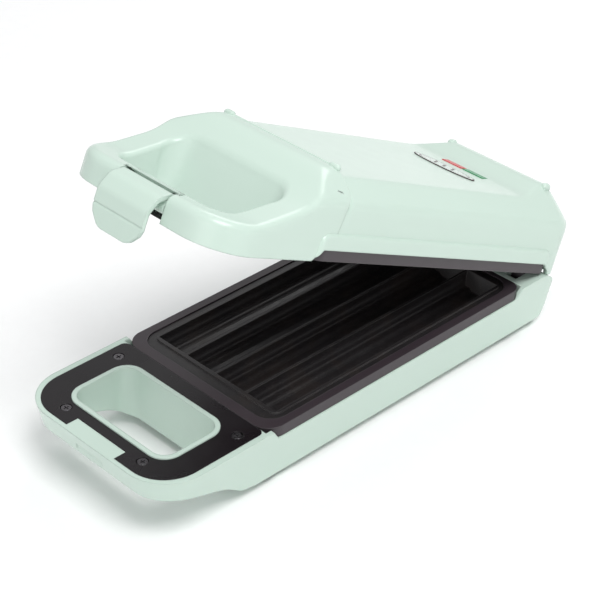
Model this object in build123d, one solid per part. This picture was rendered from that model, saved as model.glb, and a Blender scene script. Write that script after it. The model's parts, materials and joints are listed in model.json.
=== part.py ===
from build123d import *
import math
import os

os.makedirs("parts", exist_ok=True)

# Stick-doughnut maker. Millimetres, +Z up, +Y towards the hinge, origin under
# the middle of the opened maker on the table. Profiles are drawn about the
# seam between base and lid (z = 0), then each half is put in its place.

# overall sizes
housing_width = 128.0
handle_reach = 80.0
body_length = 226.0
base_height = 41.5
tub_depth = 36.5
panel_rise = 43.7
ridge_rise = 51.0
bevel_start = 34.1
bevel_run = 13.0
collar_rise = 48.0
rest_opening = 26.0
rear_margin = 16.3

# walls, gaps and fits
wall = 2.4
seam_gap = 0.4
moving_gap = 0.5
fit_gap = 0.15
side_draft = 11.0
lid_draft = 2.0
front_corner = 28.0
rear_corner = 13.0

# handles
handle_thickness = 13.5
lid_handle_rise = 17.0
lid_handle_setback = 4.0
opening_width = 81.0
opening_length = 42.0
opening_from_body = 17.0
opening_corner = 9.0
sleeve_wall = 3.0
rim_height = 0.8
cover_thickness = 2.6
cover_border = 4.0
cover_front_border = 3.0
cover_ledge = 2.5
opening_draft = 5.0

# frames and cooking plates
frame_width = 124.0
frame_height = 6.8
frame_post_length = 16.0
frame_inner_width = 113.0
frame_front_lap = 2.8
frame_bar = 7.0
frame_rear_bar = 3.0
frame_ledge = 2.0
frame_corner = 12.0
plate_corner = 12.0
plate_gap = 0.2
plate_thickness = 3.0
trough_count = 4
trough_pitch = 25.6
trough_width = 24.0
rim_setback = 14.7
rim_rear_setback = 6.95
rim_width = 2.0
trough_depth = 10.5
trough_wall = 2.2
trough_end_slope = 6.0
flute_depth = 1.3
flutes = 4

# hinge
hinge_drop = 16.0
ear_radius = 16.0
pin_radius = 2.0
pin_clearance = 0.06
arm_inner = 45.0
arm_width = 8.0
arm_radius = 11.0
cheek_width = 3.0
knuckle_width = 23.0
knuckle_radius = 9.0
lead_radius = 2.2
lead_joint = -5.0

# latch
latch_width = 39.0
latch_pin_setback = 5.0
latch_pin_rise = 8.5
latch_pin_radius = 1.6
latch_swing_radius = 8.5
latch_reach = 15.0
latch_drop = 24.2
latch_thickness = 2.7
keeper_width = 41.4
keeper_depth = 10.9

# screws
screw_head_radius = 3.0
screw_head_height = 1.4
screw_radius = 1.5
thread_clearance = 0.03
frame_screw_seat = 30.5
plate_screw_setback = 38.5
boss_radius = 4.0

# heating
heater_radius = 3.25
heater_half_width = 40.0
heater_front_setback = 24.0
heater_rear_setback = 12.0
heater_depth = 17.5
reflector_width = 98.0
reflector_depth = 24.0
reflector_lip = 9.0
sheet = 0.8
thermostat_depth = 15.0

# cord inlet
gland_radius = 5.0
gland_seat = 9.9

# feet
foot_length = 18.0
foot_width = 14.0
foot_pad = 1.6
foot_recess = 0.4

# lamps and mark
lens_width = 16.0
lens_length = 7.0
badge_width = 49.0
badge_length = 13.0
badge_thickness = 0.6
badge_setback = 26.0
lens_setback = 4.0
lamp_spacing = 17.2

# stations along Y and Z that follow from the sizes above
hinge_y = (body_length + handle_reach) / 2 - rear_margin
body_y = hinge_y - body_length
front_y = body_y - handle_reach
rear_y = hinge_y + ear_radius
hinge_z = -hinge_drop
opening_rear = body_y - opening_from_body
opening_front = opening_rear - opening_length
lid_front = front_y + lid_handle_setback
panel_start = body_y + 20.0
panel_end = hinge_y - 29.0
frame_front = body_y - frame_front_lap
frame_rear = hinge_y - ear_radius - fit_gap
lid_frame_rear = hinge_y - 1.0
trough_front = frame_front + rim_setback + rim_width
trough_length = frame_rear - rim_rear_setback - rim_width - trough_front
trough_y = trough_front + trough_length / 2
latch_y = lid_front + latch_pin_setback
latch_z = latch_pin_rise
lens_y = panel_end - lens_setback
badge_y = panel_end - badge_setback
plate_screw_depth = reflector_depth - sheet
pin_start = arm_inner - cheek_width
pin_end = arm_inner + arm_width + cheek_width
far = 400.0


def outline(points):
    """Closed face through (u, v, corner radius) points."""
    path = FilletPolyline(
        [(u, v) for u, v, _ in points], radius=[r for _, _, r in points], close=True
    )
    return make_face(path)


def mirrored(points):
    """Right-hand points followed by their mirror images, for a closed section."""
    return points + [(-u, v, r) for u, v, r in reversed(points)]


def rectangle(half, front, rear, front_radius, rear_radius):
    """Plan face that is symmetric about Y, with its own front and rear corners."""
    return outline(
        [
            (half, front, front_radius),
            (half, rear, rear_radius),
            (-half, rear, rear_radius),
            (-half, front, front_radius),
        ]
    )


def slab(face, low, high):
    """Plan face extruded between two heights."""
    return extrude(Pos(0, 0, low) * face, high - low)


def tapered(face, low, high, degrees):
    """Plan face at the seam, drawn in by the draft towards the far height."""
    if high > abs(low):
        return extrude(Pos(0, 0, low) * face, high - low, taper=degrees)
    return extrude(Pos(0, 0, high) * face, high - low, dir=(0, 0, -1), taper=degrees)


def across(face, half=far):
    """Side outline (Y, Z) extruded both ways along X."""
    return extrude(Plane.YZ * face, half, both=True)


def along(face, start, end):
    """Cross section (X, Z) extruded from one Y to another."""
    return extrude(Plane.XZ.offset(-end) * face, end - start)


def block(x0, x1, y0, y1, z0, z1):
    """Box between two corners."""
    return Pos((x0 + x1) / 2, (y0 + y1) / 2, (z0 + z1) / 2) * Box(x1 - x0, y1 - y0, z1 - z0)


def pillar(x, y, z0, z1, radius):
    """Upright cylinder."""
    return Pos(x, y, (z0 + z1) / 2) * Cylinder(radius, z1 - z0)


def rod(x0, x1, y, z, radius):
    """Cylinder along X."""
    return Pos((x0 + x1) / 2, y, z) * Rot(0, 90, 0) * Cylinder(radius, x1 - x0)


def both_sides(shape):
    """A shape and its mirror image about the middle."""
    return shape + mirror(shape, Plane.YZ)


def screw(x, y, top, length, radius=screw_radius):
    """Cross-head screw hanging down from the top of its head."""
    head = pillar(x, y, top - screw_head_height, top, screw_head_radius)
    shank = pillar(x, y, top - length, top - screw_head_height, radius)
    slot = block(x - 1.7, x + 1.7, y - 0.4, y + 0.4, top - 0.9, top + 1)
    slots = slot + Pos(x, y, 0) * Rot(0, 0, 90) * Pos(-x, -y, 0) * slot
    return head + shank - slots


def base_place(shape):
    """Raise a shape drawn about the seam to its height on the table."""
    return Pos(0, 0, base_height) * shape


def lid_place(shape):
    """Turn a shape drawn closed about the hinge to the half-open rest position."""
    axis = Pos(0, hinge_y, hinge_z)
    back = Pos(0, -hinge_y, -hinge_z)
    return base_place(axis * Rot(-rest_opening, 0, 0) * back * shape)


def flipped(shape):
    """A base piece turned over the seam to serve in the lid."""
    return Pos(0, 0, seam_gap) * mirror(shape, Plane.XY)


# ---------------------------------------------------------------- plan outlines
def housing_plan(inset):
    """Base in plan, drawn in all round by the inset."""
    half = housing_width / 2 - inset
    return rectangle(
        half, front_y + inset, rear_y + 7 - inset, front_corner - inset, rear_corner - inset
    )


def lid_plan(inset):
    """Lid in plan, drawn in all round by the inset."""
    half = housing_width / 2 - inset
    return rectangle(
        half, lid_front + inset, rear_y + 1 - inset, front_corner - inset, rear_corner - inset
    )


def opening_plan(grow):
    """Hand opening of both handles in plan."""
    half = opening_width / 2 + grow
    return rectangle(
        half, opening_front - grow, opening_rear + grow, opening_corner + grow, opening_corner + grow
    )


def cover_plan(grow, front):
    """Dark handle cover in plan, with its own front edge."""
    half = housing_width / 2 - cover_border + grow
    corner = front_corner - cover_border + grow
    return rectangle(half, front - grow, frame_front - plate_gap + min(grow, 0), corner, 4.0)


cover_screws = [
    (33.3, opening_front - sleeve_wall - 5.5),
    (housing_width / 2 - 12.6, opening_rear + 1.6),
]


# ---------------------------------------------------------------- base housing
def tub_side():
    """Side outline of the base: thin handle, deep body, round rear about the hinge."""
    return outline(
        [
            (front_y, 0, 0),
            (hinge_y + ear_radius, hinge_z + ear_radius, ear_radius),
            (hinge_y + ear_radius, hinge_z - 5, 5),
            (hinge_y + 9, -tub_depth, 3),
            (body_y - 7, -tub_depth, 8),
            (body_y - 18, 2 - tub_depth, 12),
            (body_y - 31, -handle_thickness - 11, 40),
            (body_y - 59, -handle_thickness - 1, 60),
            (front_y, -handle_thickness, 5),
        ]
    )


def tub_outer():
    """Outside of the base as one solid."""
    plan = tapered(housing_plan(0), -base_height, 0, side_draft)
    return across(tub_side()) & plan


def tub_cavity():
    """Room inside the base, open at the top in front of the hinge deck."""
    side = offset(tub_side(), -wall)
    mouth = Pos(0, wall + 1) * side & Pos(hinge_y - ear_radius - far / 2, 0) * Rectangle(far, far)
    inner = across(side + mouth)
    plan = tapered(housing_plan(wall), -base_height, 2, side_draft)
    return inner & plan


def foot_spots():
    """Middles of the four feet."""
    half = housing_width / 2 - 19.0
    return [(x, y) for y in (body_y + 12.0, hinge_y + 1.0) for x in (-half, half)]


def foot_bosses():
    """Four bulges under the tub that hold the rubber feet."""
    bosses = []
    for x, y in foot_spots():
        plan = Pos(x, y, -tub_depth + 1) * RectangleRounded(foot_width + 8, foot_length + 6, 6)
        bosses.append(extrude(plan, base_height - tub_depth, taper=30, dir=(0, 0, -1)))
    floor = -base_height + foot_pad - 0.6
    return [boss & block(-far, far, -far, far, floor, 0) for boss in bosses]


def foot_shapes(grow, high):
    """The four rubber pads, from the table up to a height."""
    plan = RectangleRounded(foot_width + grow, foot_length + grow, 4 + grow / 2)
    return [slab(Pos(x, y) * plan, -base_height, high) for x, y in foot_spots()]


def slot_shape(x0, x1, radius):
    """Room that a hinge arm sweeps, open to the top and the rear."""
    round_part = rod(x0, x1, hinge_y, hinge_z, radius)
    above = block(x0, x1, hinge_y - radius, hinge_y + far, hinge_z, hinge_z + far)
    behind = block(x0, x1, hinge_y, hinge_y + far, hinge_z - radius, hinge_z + far)
    return round_part + above + behind


def base_housing():
    """Hollow base with its handle, bosses, hinge cheeks and feet bulges."""
    outer = tub_outer()
    shell = outer - tub_cavity()
    handle_zone = block(-far, far, -far, frame_front - plate_gap, -far, 0)

    cover_room = slab(cover_plan(fit_gap, front_y + cover_front_border), -cover_thickness - fit_gap, 5)
    ledge_hole = slab(cover_plan(-cover_ledge, front_y + cover_front_border), -far, 5)
    rim = outer & handle_zone & block(-far, far, -far, far, -cover_thickness - cover_ledge, 0)
    shell += rim - ledge_hole
    shell -= cover_room
    shell -= slab(frame_plan(fit_gap, frame_rear + fit_gap), -frame_height - fit_gap, 5)

    keeper = block(-keeper_width / 2, keeper_width / 2, front_y + 1, front_y + keeper_depth, -9, 0)
    shell += keeper & outer

    sleeve = slab(opening_plan(sleeve_wall), -far, rim_height)
    tall = outer + slab(opening_plan(sleeve_wall), -handle_thickness / 2, rim_height)
    shell += sleeve & tall

    rib = block(-far, far, frame_front + 0.4, frame_front + 2.8, -far, -frame_height - 1.0)
    shell += rib & outer

    for x, y in cover_screws:
        shell += both_sides(pillar(x, y, -far / 2, -cover_thickness - fit_gap, boss_radius)) & outer

    inner_cheek = (arm_inner - moving_gap - cheek_width, arm_inner - moving_gap)
    outer_cheek = (arm_inner + arm_width + moving_gap, far)
    for x0, x1 in (inner_cheek, outer_cheek):
        shell += both_sides(block(x0, x1, hinge_y - ear_radius, far, -far, 0)) & outer
    guide = knuckle_width / 2 + moving_gap
    shell += both_sides(block(guide, guide + wall, hinge_y - ear_radius, far, -far, 0)) & outer

    for x, y in frame_posts():
        shell += pillar(x, y, -far / 2, -frame_post_length - fit_gap, boss_radius) & outer
    shell += terminal_bosses()
    shell += gland_boss() & outer

    window = outline(
        [
            (body_y, 1, 0),
            (body_y + 5.3, -frame_height - 0.2, 0),
            (frame_rear - 6, -frame_height - 0.2, 0),
            (frame_rear + fit_gap, 1, 0),
        ]
    )
    shell -= across(window)
    for boss in foot_bosses():
        shell += boss - tub_cavity()

    shell -= slab(opening_plan(0), -far, far)
    arm_room = slot_shape(arm_inner - moving_gap, arm_inner + arm_width + moving_gap, arm_radius + 1)
    shell -= both_sides(arm_room)
    shell -= slot_shape(-guide, guide, knuckle_radius + 1)
    bore = rod(pin_start - moving_gap - 0.5, pin_end, hinge_y, hinge_z, pin_radius + 0.02)
    shell -= both_sides(bore)
    shell -= rod(-guide - 4, -guide + 1, hinge_y, hinge_z, lead_radius + 0.4)
    for x, y in cover_screws:
        shell -= both_sides(pillar(x, y, -13, 0, screw_radius + thread_clearance))
    for x, y in frame_posts():
        shell -= pillar(x, y, -far, 0, screw_radius + 0.2)
        shell -= pillar(x, y, -far, -frame_screw_seat, screw_head_radius + 0.6)
    pocket = block(-11, 11, front_y - 5, front_y + 2.2, -13.0, -7.0)
    shell -= pocket
    shell -= gland_hole()
    for pad in foot_shapes(2 * fit_gap, -base_height + foot_pad + foot_recess):
        shell -= pad
    return shell


def terminal_bosses():
    """Two posts on the tub floor that carry the terminal block."""
    x, y, _ = terminal_spot()
    return both_sides(pillar(x + 8, y, -tub_depth + 1, -tub_depth + wall + 2.0, 2.6))


def gland_hole():
    """Bore for the gland, with a pocket for its outer flange."""
    x, z = gland_spot()
    hole = Pos(x, hinge_y + 10, z) * Rot(90, 0, 0) * Cylinder(gland_radius + 0.1, 30)
    pocket = Pos(x, hinge_y + gland_seat + 20, z) * Rot(90, 0, 0) * Cylinder(gland_radius + 2.0, 40)
    return hole + pocket


def gland_boss():
    """Thick ring inside the rear wall that the gland is pushed through."""
    x, z = gland_spot()
    return Pos(x, hinge_y + gland_seat + 14, z) * Rot(90, 0, 0) * Cylinder(gland_radius + 4.4, 40)


# ---------------------------------------------------------------- covers, frames
def handle_cover(front):
    """Flat cover of a handle, with its window, screw recesses and latch notch."""
    plate = slab(cover_plan(0, front), -cover_thickness, 0)
    plate -= slab(opening_plan(sleeve_wall + fit_gap), -far, far)
    notch = keeper_width / 2 + fit_gap
    plate -= block(-notch, notch, front - 5, front_y + keeper_depth + fit_gap, -far, far)
    for x, y in cover_screws:
        plate -= both_sides(pillar(x, y, -1.6, 1, screw_head_radius + 0.5))
        plate -= both_sides(pillar(x, y, -far, 1, screw_radius + 0.3))
    return plate


def cover_screw_set():
    """Four screws of a handle cover."""
    screws = Part()
    for x, y in cover_screws:
        screws += both_sides(screw(x, y, -0.2, 11))
    return screws


def frame_posts():
    """Where screws from under the tub reach up into the corners of the base frame."""
    x = frame_width / 2 - 11.5
    return [(s * x, y) for y in (frame_front + 7.5, frame_rear - 4.5) for s in (-1, 1)]


def frame_plan(grow, rear):
    """Outside of a frame in plan."""
    half = frame_width / 2 + grow
    return rectangle(half, frame_front - grow, rear, frame_corner + grow, 8)


def plate_plan(grow):
    """Cooking plate in plan, grown or shrunk all round."""
    half = frame_inner_width / 2 + grow
    corner = plate_corner + grow
    front = frame_front + frame_bar - grow
    return rectangle(half, front, frame_rear - frame_rear_bar + grow, corner, corner)


def frame_ring(rear):
    """Dark ring round a cooking plate, with an inner ledge under the plate."""
    outer = slab(frame_plan(0, rear), -frame_height, 0)
    upper = slab(plate_plan(0), -plate_thickness - plate_gap, 1)
    lower = slab(plate_plan(-frame_ledge), -far, 1)
    return outer - upper - lower


def base_frame():
    """Lower frame with the four posts its screws reach up into."""
    ring = frame_ring(frame_rear)
    for x, y in frame_posts():
        ring += pillar(x, y, -frame_post_length, -plate_thickness - plate_gap - 0.5, 3.0)
        ring -= pillar(x, y, -frame_post_length - 1, -5, screw_radius + thread_clearance)
    return ring


def base_frame_screws():
    """Screws driven up through the tub floor into the frame posts."""
    screws = Part()
    for x, y in frame_posts():
        screws += mirror(screw(x, y, frame_screw_seat + screw_head_height, 24), Plane.XY)
    return screws


def lid_frame():
    """Upper frame with the two arms that turn on the hinge pins."""
    ring = flipped(frame_ring(lid_frame_rear))
    arm_outer = arm_inner + arm_width
    frame_top = seam_gap + frame_height
    knuckle = rod(arm_inner, arm_outer, hinge_y, hinge_z, arm_radius)
    neck = block(arm_inner, arm_outer, hinge_y - arm_radius, hinge_y + 4, hinge_z, frame_top)
    tie = block(arm_inner, arm_outer, frame_rear - 2, hinge_y + 4, seam_gap, frame_top)
    ring += both_sides(knuckle + neck + tie)
    ring -= rod(-far / 2, far / 2, hinge_y, hinge_z, pin_radius + pin_clearance)
    middle = knuckle_width / 2 + moving_gap
    ring -= block(-middle, middle, hinge_y - knuckle_radius - moving_gap, far, -far, far)
    for x, y in lid_frame_screw_spots():
        ring -= pillar(x, y, -far, seam_gap + 1.6, screw_head_radius + 0.5)
        ring -= pillar(x, y, -far, far, screw_radius + 0.2)
    return ring


def lid_frame_screw_spots():
    """Where the upper frame is screwed to the lid."""
    front = [(frame_width / 2 - 7.2, frame_front + 6.9)]
    rear = [(arm_inner - 10, hinge_y - 10)]
    return [(s * x, y) for x, y in front + rear for s in (-1, 1)]


def lid_frame_screws():
    screws = Part()
    for x, y in lid_frame_screw_spots():
        screws += flipped(screw(x, y, -0.15, 14))
    return screws


# ---------------------------------------------------------------- cooking plates
def trough_section(rise):
    """Inside of a trough: a round-cornered channel with lengthwise flutes."""
    points = []
    squareness = 0.6
    steps = flutes * 8
    for i in range(steps + 1):
        turn = math.pi * i / steps
        across_x = math.copysign(abs(math.cos(turn)) ** squareness, math.cos(turn))
        down = math.sin(turn) ** squareness
        flute = flute_depth * (0.5 - 0.5 * math.cos(2 * turn * flutes)) * math.sin(turn)
        half = trough_width / 2 - flute
        points.append((half * across_x, -(trough_depth - flute) * down))
    rim = [(trough_width / 2, rise), *points, (-trough_width / 2, rise)]
    return make_face(Polyline(rim, close=True))


def trough_back_section(grow, rise):
    """Plain round-cornered channel round the back of a trough."""
    half = trough_width / 2 + grow
    low = -trough_depth - grow
    return outline(mirrored([(half, rise, 0), (half, -3, 4), (half - 4, low, 5)]))


def trough_side(grow, rise):
    """Side outline of a trough with sloping ends."""
    half = trough_length / 2 + grow
    low = -trough_depth - grow
    return outline(
        [
            (trough_y - half, rise, 0),
            (trough_y - half + trough_end_slope, low, 2),
            (trough_y + half - trough_end_slope, low, 2),
            (trough_y + half, rise, 0),
        ]
    )


def trough_centres():
    """Middles of the troughs across the plate."""
    return [(i - (trough_count - 1) / 2) * trough_pitch for i in range(trough_count)]


def trough(x, section, grow, rise):
    """One trough as a solid, from its section and its side outline."""
    run = along(section, trough_y - far / 2, trough_y + far / 2)
    return Pos(x, 0, 0) * (run & across(trough_side(grow, rise)))


def plate_screw_spots():
    """Bosses under the ribs between the troughs."""
    reach = trough_length / 2 - plate_screw_setback
    return [(s * trough_pitch, y) for y in (trough_y - reach, trough_y + reach) for s in (-1, 1)]


def cooking_plate():
    """Cast plate with its flange, raised rim, troughs and screw bosses."""
    plate = slab(plate_plan(-plate_gap), -plate_thickness, -0.8)
    rim_half = trough_pitch * (trough_count - 1) / 2 + trough_width / 2 + rim_width
    rim_y = trough_length / 2 + rim_width
    plate += slab(rectangle(rim_half, trough_y - rim_y, trough_y + rim_y, 5, 5), -plate_thickness, 0)
    for x in trough_centres():
        plate += trough(x, trough_back_section(trough_wall, -1.0), trough_wall, -1.0)
    for x, y in plate_screw_spots():
        plate += pillar(x, y, -plate_screw_depth, -plate_thickness, boss_radius)
    plate += block(-9, 9, trough_y - 14, trough_y + 24, -thermostat_depth, -plate_thickness)
    for x in trough_centres():
        plate -= trough(x, trough_section(1.0), 0, 1.0)
    for x, y in plate_screw_spots():
        bottom = -plate_screw_depth
        plate -= pillar(x, y, bottom - 1, bottom + 10, screw_radius + thread_clearance)
    return plate


def plate_screws():
    """Four screws that hold the reflector to the bosses of the plate."""
    screws = Part()
    for x, y in plate_screw_spots():
        screws += mirror(screw(x, y, reflector_depth + screw_head_height, 9.5), Plane.XY)
    return screws


# ---------------------------------------------------------------- heating
def heater():
    """Tubular element bent into a U, with cold pins towards the hinge."""
    front = trough_y - trough_length / 2 + heater_front_setback
    rear = trough_y + trough_length / 2 - heater_rear_setback
    half = heater_half_width
    points = [(-half, rear, 0), (-half, front, 0), (half, front, 0), (half, rear, 0)]
    tube = tube_run(points, heater_radius, 18)
    pins = both_sides(Pos(half, rear + 4, 0) * Rot(90, 0, 0) * Cylinder(1.2, 8))
    return Pos(0, 0, -heater_depth) * (tube + pins)


def reflector():
    """Folded sheet tray that throws the heat back at the plate."""
    half = reflector_width / 2
    front = trough_y - trough_length / 2 + 16
    rear = trough_y + trough_length / 2 - 6
    corner = 5
    outer = slab(
        rectangle(half, front, rear, corner, corner), -reflector_depth, reflector_lip - reflector_depth
    )
    inside = rectangle(half - sheet, front + sheet, rear - sheet, corner - sheet, corner - sheet)
    tray = outer - slab(inside, -reflector_depth + sheet, 0)
    tray -= block(-10, 10, trough_y - 16, trough_y + 26, -far, 0)
    for x, y in plate_screw_spots():
        tray -= pillar(x, y, -far, 0, screw_radius + 0.2)
    notch_inner = heater_half_width - 8
    notch_outer = heater_half_width + 8
    notch = block(notch_inner, notch_outer, rear - 3, rear + 3, -reflector_depth + 2.5, 0)
    return tray - both_sides(notch)


def thermostat():
    """Disc thermostat pressed against the pad of the plate, with two tabs."""
    y = trough_y - 5
    body = pillar(0, y, -thermostat_depth - 6, -thermostat_depth, 8.0)
    body += pillar(0, y, -thermostat_depth - 9, -thermostat_depth - 6, 5.0)
    return body + both_sides(block(5.2, 8.8, y - 2, y + 2, -thermostat_depth - 10, -thermostat_depth - 6))


def thermal_fuse():
    """Small cylindrical fuse in its clip beside the thermostat."""
    y = trough_y + 16
    return Pos(0, y, -thermostat_depth - 2.5) * Rot(0, 90, 0) * Cylinder(2.4, 13)


def fuse_clip():
    """Sheet saddle that holds the fuse against the pad."""
    y = trough_y + 16
    top = -thermostat_depth
    saddle = block(-3, 3, y - 6, y + 6, top - 5.6, top)
    room = block(-4, 4, y - 5.2, y + 5.2, top - 4.95, top + 1)
    feet = block(-3, 3, y - 7.9, y + 7.9, top - 0.8, top) - block(-4, 4, y - 6, y + 6, -far, 0)
    return saddle - room + feet


def terminal_spot():
    return 0.0, trough_y + 52.0, -tub_depth + wall + 2.0


def terminal_block():
    """Three-pole ceramic terminal block on the tub floor."""
    x, y, z = terminal_spot()
    body = block(x - 12, x + 12, y - 6, y + 6, z, z + 6.5)
    for i in (-1, 0, 1):
        body -= Pos(x + i * 7.5, y, z + 3.2) * Rot(90, 0, 0) * Cylinder(1.5, 20)
        body -= pillar(x + i * 7.5, y, z + 3, z + 10, 1.6)
    return body


def gland_spot():
    return 28.0, hinge_z - 8.0


def cord_gland():
    """Moulded inlet bushing through the rear wall, with flanges on both faces."""
    x, z = gland_spot()
    turn = Rot(90, 0, 0)
    barrel = Pos(x, hinge_y + gland_seat - 5, z) * turn * Cylinder(gland_radius, 10)
    flange = Pos(x, hinge_y + gland_seat + 0.8, z) * turn * Cylinder(gland_radius + 1.7, 1.6)
    collar = Pos(x, hinge_y + gland_seat - 7.2, z) * turn * Cylinder(gland_radius + 1.2, 1.6)
    collar -= Pos(x, hinge_y + gland_seat - 5, z) * turn * Cylinder(gland_radius - 0.2, 12)
    barrel += collar
    hole = Pos(x, hinge_y, z) * turn * Cylinder(3.1, 60)
    return barrel + flange - hole


def cord_clamp():
    """Clamp bar on the tub floor, ahead of the gland."""
    x, _ = gland_spot()
    y = hinge_y - 24
    bar = block(x - 11, x + 11, y - 4, y + 4, -tub_depth + wall, -tub_depth + wall + 6)
    return bar - Pos(x, y, -tub_depth + wall + 6.2) * Rot(90, 0, 0) * Cylinder(3.0, 20)


def tube_run(points, radius, bend):
    """Round tube along straight runs joined by tangent arcs."""
    path = FilletPolyline(points, radius=bend)
    return sweep(Plane(path @ 0, z_dir=path % 0) * Circle(radius), path=path)


def base_leads():
    """Sleeved leads from the terminal block to the middle of the hinge."""
    _, y, z = terminal_spot()
    height = -tub_depth + wall + 5.2
    x = -knuckle_width / 2 - moving_gap - 8
    points = [
        (-12.1, y, height),
        (x - 6, y, height),
        (x - 6, hinge_y - 18, height),
        (x - 6, hinge_y, hinge_z),
        (lead_joint, hinge_y, hinge_z),
    ]
    return tube_run(points, lead_radius, 6)


def lid_leads():
    """The same leads on the lid side, from the hinge up into the lid."""
    points = [
        (lead_joint, hinge_y, hinge_z),
        (0, hinge_y, hinge_z),
        (0, hinge_y, reflector_depth + 4.5),
        (0, trough_y + 62, reflector_depth + 4.5),
    ]
    return tube_run(points, lead_radius, 3.0)


# ---------------------------------------------------------------- lid housing
def lid_section(inset):
    """Cross section of the lid body: flared lip, side wall and flat bevel."""
    bevel = bevel_run / (panel_rise - bevel_start)
    half = housing_width / 2
    top = ridge_rise + 4
    points = [
        (half, seam_gap, 0),
        (half, 10, 4),
        (half - 1.8, 16, 6),
        (half - 2.7, bevel_start, 5),
        (half - 2.7 - (top - bevel_start) * bevel, top, 0),
    ]
    face = outline(mirrored(points))
    return offset(face, -inset) if inset else face


def lid_body_side():
    """Side outline of the lid body: flat panel, raised rear edge, sloping rear wall."""
    return outline(
        [
            (body_y + 2, seam_gap, 0),
            (body_y + 2, panel_rise, 0),
            (panel_end, panel_rise, 60),
            (hinge_y - 4, ridge_rise, 8),
            (hinge_y + 3, ridge_rise, 4),
            (hinge_y + 9, ridge_rise - 13, 20),
            (rear_y - 1.5, 18, 14),
            (rear_y, 8, 6),
            (rear_y - 5, seam_gap, 2),
        ]
    )


def collar_section():
    """Cross section of the fuller collar that carries the handle."""
    half = housing_width / 2
    return outline(
        mirrored(
            [
                (half, seam_gap, 0),
                (half, 10, 4),
                (half - 1.2, 33, 9),
                (half - 17.0, collar_rise, 8),
            ]
        )
    )


def handle_side():
    """Side outline of the lid handle: S-curve from the collar to the flat grip."""
    return outline(
        [
            (lid_front, seam_gap, 0),
            (lid_front + 1.2, 8, 5),
            (lid_front + 9.5, lid_handle_rise - 1.2, 10),
            (body_y - 50, lid_handle_rise, 40),
            (body_y - 16, lid_handle_rise + 12.3, 60),
            (body_y + 11, collar_rise - 0.6, 14),
            (panel_start - 3.5, collar_rise - 0.6, 2),
            (panel_start, collar_rise - 4.5, 0),
            (panel_start, seam_gap, 0),
        ]
    )


def lid_body_outer(inset=0.0):
    side = lid_body_side()
    section = lid_section(inset)
    if inset:
        side = offset(side, -inset)
        side += Pos(0, -inset - 1) * side
        section += Pos(0, -inset - 1) * section
    run = along(section, -far / 2, far / 2)
    return run & across(side) & slab(lid_plan(inset), -5, 80)


def lid_handle_outer(inset=0.0):
    side = handle_side()
    section = collar_section()
    if inset:
        side = offset(side, -inset)
        side += Pos(0, -inset - 1) * side
        section = offset(section, -inset)
        section += Pos(0, -inset - 1) * section
    run = along(section, -far / 2, far / 2)
    return run & across(side) & tapered(lid_plan(inset), -2, 80, lid_draft)


def nubs():
    """Small rounded stops at the ends of the collar edge and of the rear edge."""
    spots = [(46.5, body_y + 12.5, collar_rise - 1.6), (39.0, hinge_y - 0.5, ridge_rise - 1.8)]
    return [both_sides(Pos(spot) * Rot(90, 0, 0) * Cylinder(3.2, 7)) for spot in spots]


def latch_room():
    """Cut-away in the front of the lid handle in which the latch swings."""
    half = latch_width / 2 + moving_gap
    swing = rod(-half, half, latch_y, latch_z, latch_swing_radius + moving_gap)
    front = block(-half, half, lid_front - 20, latch_y, -far, far)
    below = block(-half, half, lid_front - 20, latch_y + latch_swing_radius - 2, -far, latch_z)
    return swing + front + below


def latch_cheeks():
    """Ribs on both sides of the latch that hold its pin."""
    half = latch_width / 2 + moving_gap
    low = cover_thickness + seam_gap + 0.6
    return both_sides(block(half, half + 2.6, lid_front, latch_y + 7, low, 40))


def hinge_knuckle():
    """Hollow knuckle on the hinge line, through which the leads pass."""
    half = knuckle_width / 2
    shape = rod(-half, half, hinge_y, hinge_z, knuckle_radius)
    shape += block(-half, half, hinge_y - knuckle_radius, hinge_y + 6, hinge_z, seam_gap + 8)
    shape += block(-half, half, hinge_y - knuckle_radius, rear_y - 3, seam_gap + 0.6, seam_gap + 8)
    shape -= rod(-half - 1, 0, hinge_y, hinge_z, lead_radius + 0.4)
    room = lead_radius + 0.4
    channel = block(-room, room, hinge_y - room - 4, hinge_y + room, hinge_z - room, far)
    return shape - channel


def lens_plan(side, grow_x, grow_y):
    """Indicator window in plan, left or right of the middle bar."""
    window = Rectangle(lens_width + grow_x, lens_length + grow_y)
    return Pos(side * (lens_width + 1.2) / 2, lens_y) * window


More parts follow.
